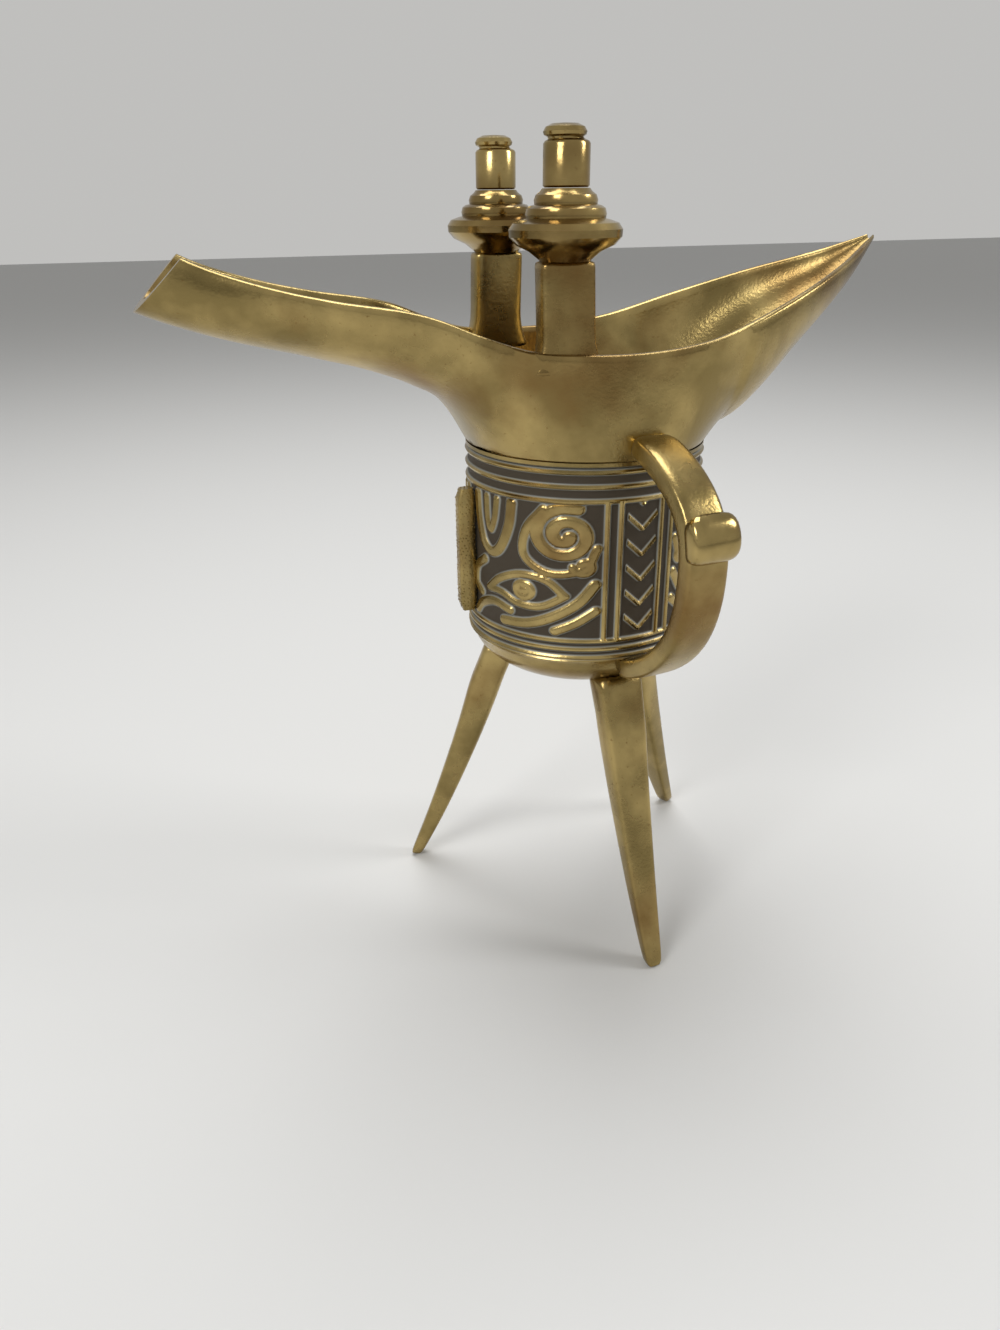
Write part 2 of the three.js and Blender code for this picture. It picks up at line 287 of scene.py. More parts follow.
# %% Rings and curves
def skin(rings, caps=True):
    """Joins rings of equal counts into faces, with a flat cap on both ends."""
    rings = np.asarray(rings, float)
    total, count = rings.shape[:2]
    points = rings.reshape(-1, 3).tolist()
    faces = []
    for i in range(total - 1):
        a = i * count
        b = (i + 1) * count
        for j in range(count):
            k = (j + 1) % count
            faces.append((a + j, a + k, b + k, b + j))
    if caps:
        faces.append(tuple(range(count)))
        faces.append(tuple(range((total - 1) * count, total * count)))
    return points, faces


def revolve(profile, steps):
    """Rings from (radius, height) pairs swept round the axis."""
    turn = np.linspace(0, 2 * np.pi, steps, endpoint=False)
    return np.array([[(r * math.cos(t), r * math.sin(t), z) for t in turn] for r, z in profile])


def through(pairs, at):
    """A smooth curve through (at, value) pairs, held at both ends."""
    xs = np.array([p[0] for p in pairs], float)
    ys = np.array([p[1] for p in pairs], float)
    slopes = np.gradient(ys, xs)
    at = np.clip(at, xs[0], xs[-1])
    i = np.clip(np.searchsorted(xs, at) - 1, 0, len(xs) - 2)
    span = xs[i + 1] - xs[i]
    t = (at - xs[i]) / span
    values = ys[i] * (2 * t**3 - 3 * t**2 + 1) + ys[i + 1] * (3 * t**2 - 2 * t**3)
    bends = span * slopes[i] * (t**3 - 2 * t**2 + t) + span * slopes[i + 1] * (t**3 - t**2)
    return values + bends


def squared(angle, corner):
    """A point of a rounded square, from -1 to 1 each way: a smaller corner is squarer."""
    across = math.copysign(abs(math.cos(angle)) ** corner, math.cos(angle))
    along = math.copysign(abs(math.sin(angle)) ** corner, math.sin(angle))
    return across, along


print("ring helpers ready")

# %% [markdown]
# The ornament is a low relief cast into the band: a mask of spirals and an eye, with a tongue
# and curved bands, between raised border lines. A normal map would look right from the front
# and fail at the edge of the cup, so this relief is real geometry. Its height is worked out from
# the distance of each point to a set of strokes, the way a carver thinks of it: a line with a
# width. Two kinds of stroke are enough.

# %% Kinds of stroke
def spiral(cx, cz, start, turns, inner, outer, steps=60):
    t = np.linspace(0, 1, steps)
    angle = math.radians(start) + turns * 2 * math.pi * t
    radius = inner + (outer - inner) * t
    return np.stack([cx + radius * np.cos(angle), cz + radius * np.sin(angle)], 1)


def bend(points, steps=12):
    """A smooth line through the listed points."""
    p = np.array(points, float)
    p = np.vstack([2 * p[0] - p[1], p, 2 * p[-1] - p[-2]])
    line = []
    for i in range(1, len(p) - 2):
        for t in np.linspace(0, 1, steps, endpoint=False):
            first = 2 * p[i] + (p[i + 1] - p[i - 1]) * t
            second = (2 * p[i - 1] - 5 * p[i] + 4 * p[i + 1] - p[i + 2]) * t * t
            third = (3 * p[i] - p[i - 1] - 3 * p[i + 1] + p[i + 2]) * t**3
            line.append(0.5 * (first + second + third))
    line.append(p[-2])
    return np.array(line)


print("a spiral has", len(spiral(0, 0, 0, 1, 0, 1)), "points")

# %% [markdown]
# One panel is drawn, and the others are that panel turned and mirrored. Its strokes are given in
# millimetres, first along the band from the panel's inner edge and then up from the feet, each
# with half its width. The volute comes first, then the tongue, the eye, the bands below it and
# one small curl.

# %% Strokes of one panel
STROKES = [
    (spiral(6.6, 94.6, 200, 1.75, 0.8, 5.6), 1.15),
    (bend([(1.4, 92.0), (3.5, 87.8), (9.0, 86.6), (13.5, 89.6), (13.2, 95.0), (10.2, 99.6)]), 0.8),
    (bend([(16.0, 99.8), (16.6, 95.0), (18.4, 90.2), (20.6, 88.6), (22.8, 90.4), (24.2, 95.0),
           (24.6, 99.8)]), 1.0),
    (bend([(19.2, 99.8), (19.8, 95.6), (20.8, 93.2), (21.6, 95.6), (21.8, 99.8)]), 0.7),
    (bend([(6.4, 82.0), (9.6, 85.0), (14.0, 85.6), (18.4, 83.6), (21.4, 80.6)]), 0.75),
    (bend([(6.4, 82.0), (10.4, 79.4), (14.6, 79.2), (18.2, 80.6), (21.4, 80.6)]), 0.75),
    (spiral(13.6, 82.3, 0, 1.0, 1.5, 1.5), 0.7),
    (spiral(13.6, 82.3, 0, 1.0, 0.2, 0.3), 0.6),
    (bend([(1.6, 84.6), (4.2, 80.8), (8.2, 77.6), (12.6, 75.4), (17.6, 74.6)]), 1.0),
    (bend([(1.4, 79.0), (4.6, 76.4), (8.0, 74.4)]), 0.9),
    (bend([(16.4, 77.2), (20.0, 78.0), (23.6, 76.4), (25.4, 74.2)]), 0.9),
    (bend([(22.6, 86.4), (25.2, 84.0), (25.6, 80.4), (23.8, 78.8)]), 0.9),
    (spiral(3.4, 88.4, 30, 0.9, 0.7, 1.9), 0.7),
]
STROKE_SLOPE = 0.14


def plateau(distance, half_width, slope):
    """1 on a line's top and 0 in the ground, with a sloping edge between them."""
    return 1 / (1 + np.exp((distance - half_width) / slope))


def stroke_height(u, z):
    height = np.zeros_like(u)
    for line, half_width in STROKES:
        nearest = np.full(u.shape, np.inf)
        for a, b in zip(line[:-1], line[1:]):
            d = b - a
            length = max(float(d @ d), 1e-9)
            t = np.clip(((u - a[0]) * d[0] + (z - a[1]) * d[1]) / length, 0, 1)
            nearest = np.minimum(nearest, np.hypot(u - a[0] - t * d[0], z - a[1] - t * d[1]))
        height = np.maximum(height, plateau(nearest, half_width, STROKE_SLOPE))
    return height


print(len(STROKES), "strokes in a panel")

# %% [markdown]
# Round the cup the panels lie between the flanges and pairs of upright ridges. The narrow field
# behind the handle has stacked chevrons instead of a mask, and six border lines run all the way
# round. Each of them is a distance again, so the whole band is one height, the greatest of them.

# %% Layout of the band
BAND_RADIUS = 24.6
BAND_LOW, BAND_HIGH = 73.4, 100.6
BAND_START = 68.0
NECK_HIGH = 108.7
PANEL_WIDE = 27.0
MM_PER_DEGREE = 0.43
HANDLE_FIELD = (-102.0, -67.5)
CHEVRON_FIELD = (-95.5, -74.0)
BACK_FIELD = (84.0, 96.0)
PANELS = ((-180, HANDLE_FIELD[0], True), (HANDLE_FIELD[1], 0, False),
          (0, BACK_FIELD[0], True), (BACK_FIELD[1], 180, False))
RIDGES = HANDLE_FIELD + CHEVRON_FIELD + BACK_FIELD
RIDGE_HALF, RIDGE_SLOPE = 0.5, 0.12
RIDGE_OVERRUN = 1.0
BORDERS = (68.8, 70.6, 72.4, 101.3, 104.1, 106.9)
BORDER_HALF, BORDER_SLOPE = 0.42, 0.12
PLAIN_HEIGHT = 0.75


def panel_place(angle):
    """Distance along the nearest panel, from its inner edge towards its flange, or -1."""
    place = np.full(angle.shape, -1.0)
    for start, end, mirrored in PANELS:
        inside = (angle >= start) & (angle <= end)
        share = (angle - start) / (end - start)
        along = 1 - share if mirrored else share
        place = np.where(inside, along * PANEL_WIDE, place)
    return place


print(len(PANELS), "panels,", len(RIDGES), "ridges,", len(BORDERS), "border lines")

# %% Height of the relief
CHEVRON_FIELD_HALF = 3.4
CHEVRON_LOWEST, CHEVRON_STEP, CHEVRON_LIFT = 74, 5.2, 0.4
CHEVRON_LEAN = 0.9
CHEVRON_HALF, CHEVRON_SLOPE = 0.55, 0.15
FADE = 0.6
FADE_PAST_TOP = 0.4
PLAIN_BELOW, PLAIN_ABOVE = BAND_START + 0.2, NECK_HIGH - 1.0


def chevron_height(angle, z):
    across = np.abs(angle - sum(CHEVRON_FIELD) / 2) * MM_PER_DEGREE
    up_the_step = ((z - CHEVRON_LOWEST) / CHEVRON_STEP % 1) * CHEVRON_STEP
    distance = np.abs(up_the_step - CHEVRON_LIFT - across * CHEVRON_LEAN)
    return plateau(distance, CHEVRON_HALF, CHEVRON_SLOPE), across < CHEVRON_FIELD_HALF


def band_relief(angle, z):
    """The height of the relief at an angle in degrees and a height in millimetres."""
    u = panel_place(angle)
    height = np.where(u >= 0, stroke_height(u, z), 0)
    chevrons, in_field = chevron_height(angle, z)
    between = (angle > CHEVRON_FIELD[0]) & (angle < CHEVRON_FIELD[1])
    height = np.where(between & in_field, chevrons, height)
    height = height * np.clip((z - BAND_LOW + FADE) / FADE, 0, 1)
    height = height * np.clip((BAND_HIGH + FADE_PAST_TOP - z) / FADE, 0, 1)
    beside_ridge = (z > BAND_LOW - RIDGE_OVERRUN) & (z < BAND_HIGH + RIDGE_OVERRUN)
    for ridge in RIDGES:
        line = plateau(np.abs(angle - ridge) * MM_PER_DEGREE, RIDGE_HALF, RIDGE_SLOPE)
        height = np.maximum(height, np.where(beside_ridge, line, 0))
    for border in BORDERS:
        height = np.maximum(height, plateau(np.abs(z - border), BORDER_HALF, BORDER_SLOPE))
    return np.where((z < PLAIN_BELOW) | (z > PLAIN_ABOVE), PLAIN_HEIGHT, height)


print("chevrons between", CHEVRON_FIELD, "degrees")

# %% [markdown]
# The cup is a profile of radius and height swept round the axis: bowl, band, neck, and back down
# inside. The rows on the band are about a third of a millimetre apart, dense enough to hold the
# relief as real geometry, while the plain bowl and the inside take only a few.

# %% Cup profile
WALL = 2.0
BOWL_LOW = 57.0
BOWL_RADIUS = 23.8
INSIDE_RADIUS = BOWL_RADIUS - WALL
INSIDE_HEIGHTS = (104, 88, BAND_START + 4)
BAND_INSET = 0.5
NECK_INSET = 0.3
BOWL_ROWS, BAND_ROWS, INSIDE_ROWS = 14, 118, 11
FIRST_ROW = 0.15


def bowl_row(row, rows, radius, depth):
    """A point of the round bowl: the first row is a small ring, which its cap closes."""
    angle = (row + FIRST_ROW) / rows * math.pi / 2
    return radius * math.sin(angle), BAND_START - depth * math.cos(angle)


def cup_profile():
    depth = BAND_START - BOWL_LOW
    profile = [bowl_row(i, BOWL_ROWS, BOWL_RADIUS, depth) for i in range(BOWL_ROWS)]
    profile += [(BAND_RADIUS - BAND_INSET, z) for z in np.linspace(BAND_START, NECK_HIGH, BAND_ROWS)]
    profile.append((BAND_RADIUS - NECK_INSET - WALL, NECK_HIGH))
    profile += [(INSIDE_RADIUS, z) for z in INSIDE_HEIGHTS]
    inside = [bowl_row(i, INSIDE_ROWS, INSIDE_RADIUS, depth - WALL) for i in range(INSIDE_ROWS)]
    return profile + inside[::-1]


print(len(cup_profile()), "rows in the cup")

# %% Cup with its ornament
ROUND_STEPS = 540
RELIEF_DEEP = 0.75
PLAIN_WORN = 0.7


def cup_piece():
    profile = cup_profile()
    rings = revolve(profile, ROUND_STEPS)
    angle = np.degrees(np.arctan2(rings[:, :, 1], rings[:, :, 0]))
    relief = band_relief(angle, rings[:, :, 2])
    on_band = np.zeros(len(profile))
    on_band[BOWL_ROWS:BOWL_ROWS + BAND_ROWS] = 1
    push = relief * RELIEF_DEEP * on_band[:, None]
    outwards = rings[:, :, :2] / np.hypot(rings[:, :, 0], rings[:, :, 1])[:, :, None]
    rings[:, :, :2] += outwards * push[:, :, None]
    worn = np.where(on_band[:, None] > 0, relief, PLAIN_WORN).ravel()
    points, faces = skin(rings)
    return make_piece("cup_and_ornament", points, faces, ornate, worn=worn)


hand_over(cup_piece(), "cup_body")

# %% [markdown]
# The mouth is a boat: cross-sections along its length, a U under the spout and under the tail,
# opening into the neck between them. Three curves along the length rule it, the keel, the rim's
# height and the rim's half width, so the long spout and the deep tail come out of one rule.

# %% Curves of the mouth, from the spout to the tail
SEAM = NECK_HIGH + 0.3
SPOUT_REACH, TAIL_REACH = 85.0, 65.0
SPOUT_TIP_HIGH = 136.6
KEEL = [(-85, 136.6), (-57, 128), (-44, 124.4), (-36.7, 121.5), (-29.9, 117.2), (-26.6, 112.6),
        (-24.6, 109), (24.6, 109), (28.8, 110.6), (32, 113), (41, 121.8), (50, 129.6),
        (56.7, 135.4), (65, 144.5)]
RIM_TOP = [(-85, 144.9), (-78, 143.3), (-53, 137.8), (-35, 134.2), (-28, 131.4), (-20, 128.8),
           (-10, 127.9), (0, 127.8), (15, 129.4), (30, 133.8), (45, 138.6), (57, 142.4),
           (65, 145.5)]
RIM_HALF = [(-85, 8.2), (-78, 8.8), (-66, 11.5), (-53, 13.5), (-35, 16), (-28, 18.8),
            (-20, 21.8), (-10, 24.2), (0, 25.2), (10, 25.4), (20, 24.2), (30, 21.6),
            (45, 15.2), (57, 7.6), (65, 1.4)]
print("mouth", SPOUT_REACH + TAIL_REACH, "mm long")

# %% Cross-section of the mouth
SIDE_STEPS = 22
LEAST_HALF, LEAST_DEPTH = 0.4, 0.3
FULL_BLEND = 0.9
FLARE = 0.8


def section(x, inset):
    """One side of a section from keel to rim: a U that turns into the neck's wall."""
    neck = BAND_RADIUS - inset
    low_half = math.sqrt(neck * neck - x * x) if abs(x) < neck else 0.0
    blend = min(1, low_half / (neck * FULL_BLEND))
    top = float(through(RIM_TOP, x))
    keel = SEAM if abs(x) < BAND_RADIUS else max(float(through(KEEL, x)), SEAM)
    bottom = keel + inset
    half = max(float(through(RIM_HALF, x)) - inset, LEAST_HALF)
    low_half = min(low_half, half)
    depth = max(top - bottom, LEAST_DEPTH)
    side = []
    for t in np.linspace(0, 1, SIDE_STEPS):
        rise = (1 - math.cos(t * math.pi / 2)) * (1 - blend) + t * blend
        spread = math.sin(t * math.pi / 2) * (1 - blend) + t**FLARE * blend
        side.append((low_half + (half - low_half) * spread, top - depth + depth * rise))
    return side


print("section at the axis is", round(2 * section(0, 0)[-1][0], 1), "mm wide")

# %% [markdown]
# Each section becomes one closed loop: out along the outside, over the rounded lip and back
# along the inside. The wall and its edge are then one skin with a real thickness, which no
# Solidify modifier has to guess at the thin tail. The spout's open end leans back from its tip to
# its rim, so the last sections are sheared.

# %% Mouth with spout and tail
MOUTH_SECTIONS = 150
LEAN_START, LEAN_LENGTH = 58, 27
LIP_RISE, LIP_SHOULDER, LIP_SHARE = 0.5, 0.35, 0.7
TAIL_WALL_SHARE, TAIL_THINNING = 0.4, 12


def lean(x, z):
    share = max(0.0, min(1.0, (-LEAN_START - x) / LEAN_LENGTH))
    return x + share * (z - SPOUT_TIP_HIGH)


def wall_loop(x):
    outer = section(x, 0.0)
    inner = section(x, WALL * min(1, TAIL_WALL_SHARE + (TAIL_REACH - x) / TAIL_THINNING))
    lip_y = (outer[-1][0] + inner[-1][0]) / 2
    rim = outer[-1][1]
    lip = [(lip_y + (outer[-1][0] - lip_y) * LIP_SHARE, rim + LIP_SHOULDER),
           (lip_y, rim + LIP_RISE),
           (lip_y + (inner[-1][0] - lip_y) * LIP_SHARE, rim + LIP_SHOULDER)]
    half_wall = outer + lip + inner[::-1]
    mirrored = [(-y, z) for y, z in half_wall[::-1]]
    return [(lean(x, z), y, z) for y, z in half_wall + mirrored]


def mouth_skin():
    rings = [wall_loop(x) for x in np.linspace(-SPOUT_REACH, TAIL_REACH, MOUTH_SECTIONS)]
    count = len(rings[0])
    half = count // 2
    points, faces = skin(rings, caps=False)
    for base in (0, (len(rings) - 1) * count):
        for start in (base, base + half):
            for j in range(half // 2):
                faces.append((start + j, start + j + 1, start + half - 2 - j, start + half - 1 - j))
        faces.append((base, base + half - 1, base + half, base + count - 1))
    return points, faces


points, faces = mouth_skin()
mouth = make_piece("mouth_and_spout", points, faces, cast, smooth_angle=50)
print("mouth has", len(faces), "faces before the throat is cut")

# %% [markdown]
# Between spout and tail the loops close the neck with a floor. A short cylinder, cut away with an
# exact boolean, opens the throat down into the cup. The result is turned into a plain mesh at
# once, so no cutter has to be kept, and only then is the mouth handed over.

# %% Throat
THROAT_BELOW, THROAT_ABOVE, THROAT_STEPS = 3, 3.2, 120


def cut(piece, points, faces):
    cutter = new_object("cutter", points, faces)
    face_outwards(cutter)
    cutter.select_set(False)
    modifier = piece.modifiers.new("cut", "BOOLEAN")
    modifier.object = cutter
    modifier.operation = "DIFFERENCE"
    modifier.solver = "EXACT"
    graph = bpy.context.evaluated_depsgraph_get()
    result = bpy.data.meshes.new_from_object(piece.evaluated_get(graph))
    piece.modifiers.clear()
    piece.data = result
    bpy.data.objects.remove(cutter)


throat_radius = BAND_RADIUS - WALL
throat = [(throat_radius, SEAM - THROAT_BELOW), (throat_radius, SEAM + THROAT_ABOVE)]
cut(mouth, *skin(revolve(throat, THROAT_STEPS)))
hand_over(mouth, "mouth_shell")

# %% [markdown]
# Legs, handle, thumb rest and flanges are bars: a rounded rectangle carried along a line, with a
# width, a thickness and a tilt at each station. A bevelled curve would do for an even rod, but
# these taper and turn. Subdivision then rounds the edges the way filing and polishing do.

# %% Bars
BAR_POINTS = 16


def bar(stations, angle, corner):
    """Rings of a bar in the upright plane at an angle: stations are (r, z, width, thick, tilt)."""
    turn = math.radians(angle)
    outwards = np.array([math.cos(turn), math.sin(turn), 0])
    sideways = np.array([-math.sin(turn), math.cos(turn), 0])
    rings = []
    for r, z, width, thick, tilt in stations:
        slant = math.radians(tilt)
        normal = outwards * math.cos(slant) + np.array([0, 0, math.sin(slant)])
        middle = outwards * r + np.array([0, 0, z])
        ring = []
        for j in range(BAR_POINTS):
            x, y = squared((j + 0.5) / BAR_POINTS * 2 * math.pi, corner)
            ring.append(middle + sideways * x * width / 2 + normal * y * thick / 2)
        rings.append(ring)
    return np.array(rings)


print("a bar's ring has", BAR_POINTS, "points")

# %% [markdown]
# The three legs are blades. They taper down to a small flat foot, curve outwards as they go, and
# flare where they are brazed under the bowl. One stands below the handle, and the other two about
# a third of a turn away on both sides. The line of a leg gives its radius at each height, so one
# rule draws all three.

# %% Legs
LEG_LINE = [(0, 40.5), (12, 35.3), (28, 29.1), (45, 23.2), (60, 18.9), (66, 17.5)]
LEG_TOP, LEG_ROWS = 62.5, 26
FOOT_WIDE, LEG_GAIN, LEG_FULL_HIGH, LEG_SWELL = 3.4, 6.2, 50, 0.8
LEG_THICK_SHARE = 0.8
ROOT_START, ROOT_LONG = 52, 10.5
ROOT_INWARDS, ROOT_FLARE = 1.2, 0.12


def leg_piece(name, angle, cad_node):
    stations = []
    for z in np.linspace(0, LEG_TOP, LEG_ROWS):
        width = FOOT_WIDE + LEG_GAIN * min(z / LEG_FULL_HIGH, 1) ** LEG_SWELL
        root = max(0, (z - ROOT_START) / ROOT_LONG)
        r = float(through(LEG_LINE, z)) - ROOT_INWARDS * root
        stations.append((r, z, width * (1 + ROOT_FLARE * root), width * LEG_THICK_SHARE, 0))
    points, faces = skin(bar(stations, angle, corner=0.42))
    hand_over(make_piece(name, points, faces, cast, smooth_angle=50, levels=1), cad_node)


leg_piece("blade_leg_front", -87, "front_leg")
leg_piece("blade_leg_left", 153, "left_leg")
leg_piece("blade_leg_right", 27, "right_leg")

# %% [markdown]
# The handle is a strap of even width. It leaves the neck under the rim, turns down over a
# shoulder and comes back to the bowl in a wide D with room for a finger. Its stations say how far
# out they lie, how far below the top, and how the strap is tilted there. A thumb rest, like a
# folded lip, sits on the shoulder.

# %% Handle
HANDLE_ANGLE = -84
HANDLE_TOP = 112.3
HANDLE_WIDE, HANDLE_THICK = 9, 4.6
REACH = 44.5
HANDLE_LINE = [(22.8, 0, 60), (29.6, 1.4, 62), (36.6, 5, 48), (REACH - 3.2, 9, 36),
               (REACH - 0.6, 14, 6), (REACH - 0.4, 20, 0), (REACH - 1, 27, -8), (REACH - 3.6, 34, -28),
               (REACH - 8.6, 40, -48), (REACH - 15, 44.4, -66), (20.6, 47.9, -74)]
stations = [(r, HANDLE_TOP - drop, HANDLE_WIDE, HANDLE_THICK, tilt) for r, drop, tilt in HANDLE_LINE]
points, faces = skin(bar(stations, HANDLE_ANGLE, corner=0.4))
handle = make_piece("strap_handle", points, faces, cast, smooth_angle=60, levels=2)
hand_over(handle, "handle_band")

# %% Thumb rest
THUMB_OUT = REACH + 1.7
THUMB_LINE = [(THUMB_OUT - 0.6, 94.6, 9.4, 2.6, 0), (THUMB_OUT + 0.6, 97.0, 10.4, 5.2, 8),
              (THUMB_OUT - 0.2, 100.8, 10.4, 5.4, 26), (THUMB_OUT - 2.2, 103.6, 9.6, 3.2, 38)]
points, faces = skin(bar(THUMB_LINE, HANDLE_ANGLE, corner=0.5))
thumb_rest = make_piece("folded_thumb_rest", points, faces, polished, smooth_angle=60, levels=2)
hand_over(thumb_rest, "thumb_rest")

# %% [markdown]
# Two square posts stand on the rim where the spout begins and lean a little towards each other.
# Each foot spreads along the rim, as the filed fillets of the casting do. A scaled cube could
# stand in for a post, but rings give the spread foot and the rounded corners in one skin.

# %% Posts
POST_X, POST_TOP, POST_FOOT = -12.5, 143.4, 124.6
POST_TOP_Y, POST_FOOT_Y = 18.3, 19.8
POST_SEAT = 0.6
POST_HALF_WIDE, POST_HALF_THICK = 5.2, 2.7
POST_CORNER = 0.4
POST_ROWS, POST_POINTS = 20, 20
FOOT_SPREAD, FOOT_FADE = 0.4, 2.6


def post_piece(side, name, cad_node):
    rings = []
    for t in np.linspace(0, 1, POST_ROWS):
        z = POST_FOOT + (POST_TOP + POST_SEAT - POST_FOOT) * t
        foot = max(0.0, 1 - t * FOOT_FADE)
        y = side * (POST_FOOT_Y + (POST_TOP_Y - POST_FOOT_Y) * t)
        half_wide = POST_HALF_WIDE * (1 + FOOT_SPREAD * foot**2)
        ring = []
        for j in range(POST_POINTS):
            across, along = squared((j + 0.5) / POST_POINTS * 2 * math.pi, POST_CORNER)
            ring.append((POST_X + across * half_wide, y + along * POST_HALF_THICK, z))
        rings.append(ring)
    points, faces = skin(rings)
    hand_over(make_piece(name, points, faces, cast, smooth_angle=60, levels=1), cad_node)


for side, word in ((-1, "near"), (1, "far")):
    post_piece(side, f"{word}_rim_post", f"{word}_post")

# %% [markdown]
# The finials are turned: a wide disc and two smaller rings, with a plain knob on top whose domed
# cap sits slightly off its axis, as on the real casting. A profile swept round an axis is what a
# lathe makes, and the same few numbers serve both posts. These are the brightest parts, so they
# take the polished brass.

# %% Finials and knobs
FINIAL = [(0.01, 0), (4.4, 0), (5.1, 0.6), (6.4, 1.6), (8.6, 2.6), (9.8, 3.9), (9.9, 5.1),
          (9.2, 6.1), (7.7, 6.6), (6.9, 6.8), (7.05, 7.5), (6.8, 8.4), (6.2, 8.8), (5.4, 9.0),
          (5.5, 9.7), (5.2, 10.5), (4.5, 11.0), (4.1, 11.5), (0.01, 11.5)]
KNOB = [(0.01, 0), (3.7, 0), (4.0, 0.3), (4.0, 6.6), (3.75, 7.0), (3.1, 7.3), (3.0, 7.6),
        (3.55, 7.9), (3.7, 8.4), (3.3, 9.1), (2.3, 9.55), (0.01, 9.7)]
TURNED_STEPS = 96
FINIAL_SEAT, KNOB_SEAT = 0.3, 11.9
CAP_SLIP, CAP_START, CAP_BLEND = 0.35, 7.2, 0.5


def turned_piece(profile, side, base, name, cad_node, slip=0.0):
    rings = revolve(profile, TURNED_STEPS)
    rings[:, :, 2] += base
    in_cap = np.clip((rings[:, :, 2] - base - CAP_START) / CAP_BLEND, 0, 1)
    rings[:, :, 0] += POST_X + slip * in_cap
    rings[:, :, 1] += side * POST_TOP_Y
    points, faces = skin(rings)
    hand_over(make_piece(name, points, faces, polished, smooth_angle=32), cad_node)


for side, word in ((-1, "near"), (1, "far")):
    turned_piece(FINIAL, side, POST_TOP + FINIAL_SEAT, f"{word}_turned_finial", f"{word}_finial")
    turned_piece(KNOB, side, POST_TOP + KNOB_SEAT, f"{word}_turned_knob", f"{word}_knob", -CAP_SLIP)

# %% [markdown]
# The two flanges are cast ribs under the spout and the tail, stippled all over with tiny bosses.
# Hundreds of alike bosses are work for Geometry Nodes: the tree scatters them over the flange's
# own faces at a least spacing, a little uneven as handwork is, and its fixed seed gives the same
# scatter each time.

# %% Stipple tree
BOSS_DENSITY = 4000000
BOSS_SEED = 7


def stipple_tree(material):
    tree = bpy.data.node_groups.new("stipple", "GeometryNodeTree")
    tree.interface.new_socket("Geometry", in_out="INPUT", socket_type="NodeSocketGeometry")
    radius = tree.interface.new_socket("Boss radius", in_out="INPUT", socket_type="NodeSocketFloat")
    space = tree.interface.new_socket("Least spacing", in_out="INPUT", socket_type="NodeSocketFloat")
    tree.interface.new_socket("Geometry", in_out="OUTPUT", socket_type="NodeSocketGeometry")
    enter = tree.nodes.new("NodeGroupInput")
    leave = tree.nodes.new("NodeGroupOutput")
    scatter = tree.nodes.new("GeometryNodeDistributePointsOnFaces")
    scatter.distribute_method = "POISSON"
    scatter.inputs["Density Max"].default_value = BOSS_DENSITY
    scatter.inputs["Seed"].default_value = BOSS_SEED
    boss = tree.nodes.new("GeometryNodeMeshIcoSphere")
    boss.inputs["Subdivisions"].default_value = 1
    place_bosses = tree.nodes.new("GeometryNodeInstanceOnPoints")
    join = tree.nodes.new("GeometryNodeJoinGeometry")
    realize = tree.nodes.new("GeometryNodeRealizeInstances")
    paint = tree.nodes.new("GeometryNodeSetMaterial")
    paint.inputs["Material"].default_value = material
    links = tree.links
    links.new(enter.outputs["Geometry"], scatter.inputs["Mesh"])
    links.new(enter.outputs["Least spacing"], scatter.inputs["Distance Min"])
    links.new(enter.outputs["Boss radius"], boss.inputs["Radius"])
    links.new(scatter.outputs["Points"], place_bosses.inputs["Points"])
    links.new(boss.outputs["Mesh"], place_bosses.inputs["Instance"])
    links.new(enter.outputs["Geometry"], join.inputs["Geometry"])
    links.new(place_bosses.outputs["Instances"], join.inputs["Geometry"])
    links.new(join.outputs["Geometry"], realize.inputs["Geometry"])
    links.new(realize.outputs["Geometry"], paint.inputs["Geometry"])
    links.new(paint.outputs["Geometry"], leave.inputs["Geometry"])
    return tree, radius.identifier, space.identifier


tree, radius_input, space_input = stipple_tree(cast)
print("stipple tree with", len(tree.nodes), "nodes")

# %% Flanges
BOSS_RADIUS = 0.16 * MM
BOSS_SPACING = 0.55 * MM
FLANGE_LOW, FLANGE_HIGH, FLANGE_ROWS = 73.6, 100.1, 14
FLANGE_BODY = (26.2, 3, 3.6)
FLANGE_END = (26.0, 2.4, 2.6)


def flange_station(size, z):
    middle, width, thick = size
    return middle, z, width, thick, 0


def flange_piece(name, angle, cad_node):
    heights = np.linspace(FLANGE_LOW, FLANGE_HIGH, FLANGE_ROWS)
    stations = [flange_station(FLANGE_BODY, z) for z in heights]
    stations[0] = flange_station(FLANGE_END, FLANGE_LOW)
    stations[-1] = flange_station(FLANGE_END, FLANGE_HIGH)
    points, faces = skin(bar(stations, angle, corner=0.35))
    flange = make_piece(name, points, faces, cast)
    modifier = flange.modifiers.new("stipple", "NODES")
    modifier.node_group = tree
    modifier[radius_input] = BOSS_RADIUS
    modifier[space_input] = BOSS_SPACING
    graph = bpy.context.evaluated_depsgraph_get()
    stippled = bpy.data.meshes.new_from_object(flange.evaluated_get(graph))
    flange.modifiers.clear()
    flange.data = stippled
    hand_over(flange, cad_node)


flange_piece("flange_under_spout", 180, "spout_flange")
flange_piece("flange_under_tail", 0, "tail_flange")

# %% [markdown]
# The vessel stands on a plain pale floor, which isn't part of it. One face is enough for it,
# because the lamps and the vessel's shadow do the rest.

# %% Floor
FLOOR_HALF = 3.0
PALE = (0.72, 0.72, 0.71, 1)
FLOOR_ROUGHNESS = 0.6

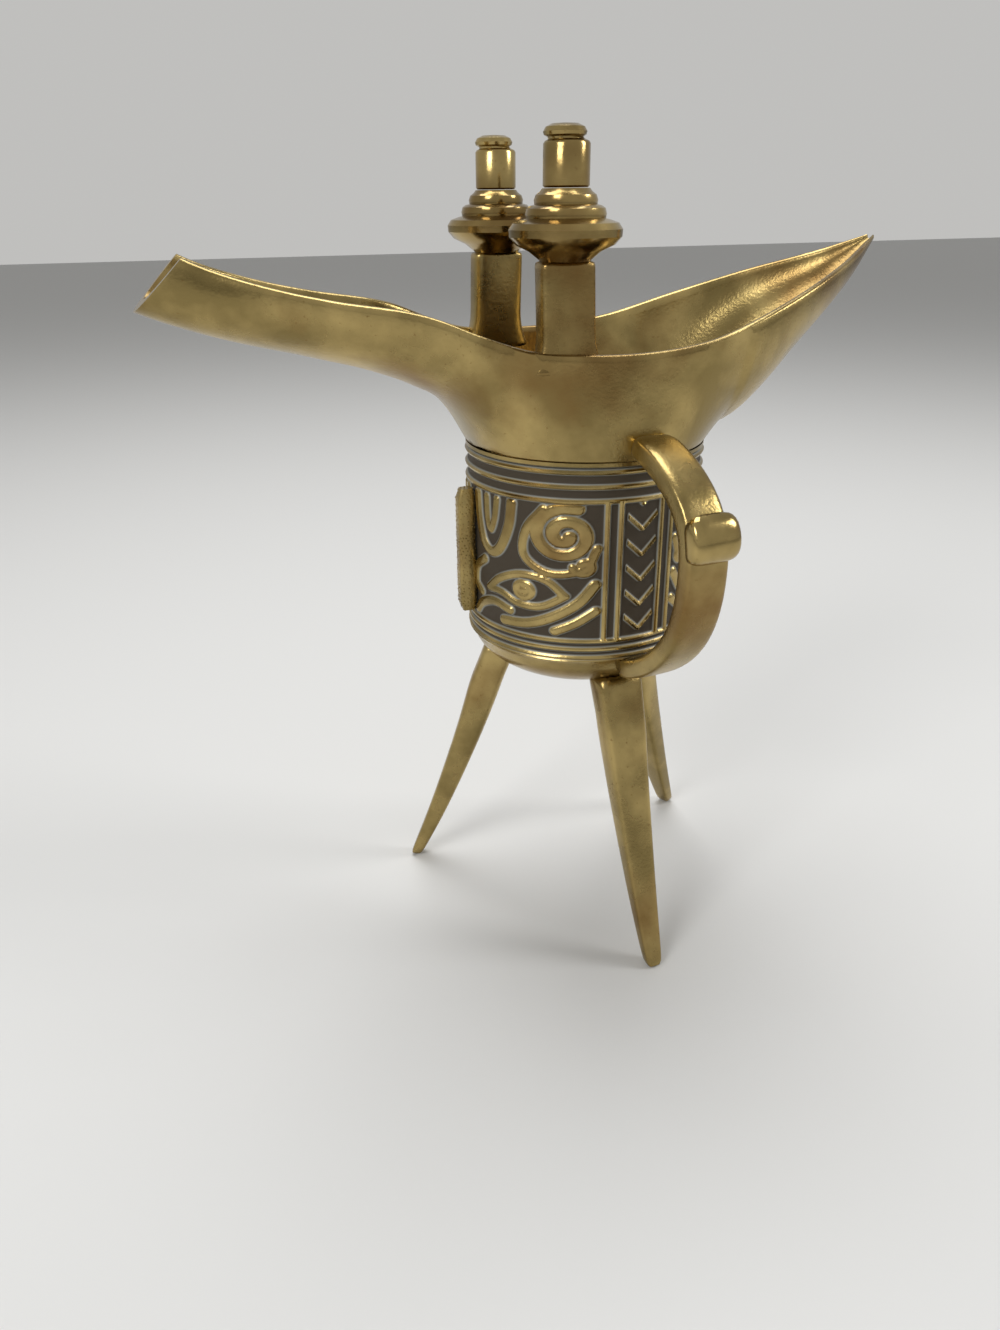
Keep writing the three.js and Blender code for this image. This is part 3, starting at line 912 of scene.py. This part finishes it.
corners = [(-FLOOR_HALF, -FLOOR_HALF, 0), (FLOOR_HALF, -FLOOR_HALF, 0),
           (FLOOR_HALF, FLOOR_HALF, 0), (-FLOOR_HALF, FLOOR_HALF, 0)]
floor_mesh = bpy.data.meshes.new("floor")
floor_mesh.from_pydata(corners, [], [(0, 1, 2, 3)])
floor = bpy.data.objects.new("floor", floor_mesh)
bpy.context.scene.collection.objects.link(floor)
pale = bpy.data.materials.new("pale_floor")
pale.use_nodes = True
pale.node_tree.nodes["Principled BSDF"].inputs["Base Color"].default_value = PALE
pale.node_tree.nodes["Principled BSDF"].inputs["Roughness"].default_value = FLOOR_ROUGHNESS
floor_mesh.materials.append(pale)
print("floor", 2 * FLOOR_HALF, "m wide")

# %% [markdown]
# The backdrop is the world. What the camera sees directly, and what the brass mirrors, is a pale
# grey, while the light that the world sheds on everything stays lower, so that the pale backdrop
# doesn't wash the metal out.

# %% World
BACKDROP = (0.62, 0.615, 0.60, 1)
LIT_STRENGTH = 0.45
SEEN_STRENGTH = 0.85

world = bpy.data.worlds.new("studio")
bpy.context.scene.world = world
world.use_nodes = True
studio = world.node_tree
backdrop = studio.nodes["Background"]
backdrop.inputs["Color"].default_value = BACKDROP
rays = studio.nodes.new("ShaderNodeLightPath")
seen = studio.nodes.new("ShaderNodeMath")
seen.operation = "MAXIMUM"
studio.links.new(rays.outputs["Is Camera Ray"], seen.inputs[0])
studio.links.new(rays.outputs["Is Glossy Ray"], seen.inputs[1])
strength = ramp(studio, seen.outputs[0], 0.0, 1.0, LIT_STRENGTH, SEEN_STRENGTH)
studio.links.new(strength, backdrop.inputs["Strength"])
print("world strength", LIT_STRENGTH, "lit,", SEEN_STRENGTH, "seen")

# %% [markdown]
# Brass shows its surroundings. Three soft lamps, left, right and above, all aimed at the cup, draw
# the long highlights on the mouth, the finials and the handle. Point lamps would leave only small
# hard dots there.

# %% Lamps
AIM = Vector((0, 0, 0.09))
LAMPS = (("left_softbox", (-0.55, -0.35, 0.55), 0.3, 2.3),
         ("right_softbox", (0.6, -0.2, 0.5), 0.2, 1.5),
         ("top_softbox", (0.05, 0.25, 0.8), 0.5, 4.0))

for name, spot, size, power in LAMPS:
    lamp_data = bpy.data.lights.new(name, "AREA")
    lamp_data.size = size
    lamp_data.energy = power
    lamp = bpy.data.objects.new(name, lamp_data)
    lamp.location = spot
    lamp.rotation_euler = (AIM - Vector(spot)).to_track_quat("-Z", "Y").to_euler()
    bpy.context.scene.collection.objects.link(lamp)
bpy.context.scene.view_settings.view_transform = "Standard"
print(len(LAMPS), "lamps")
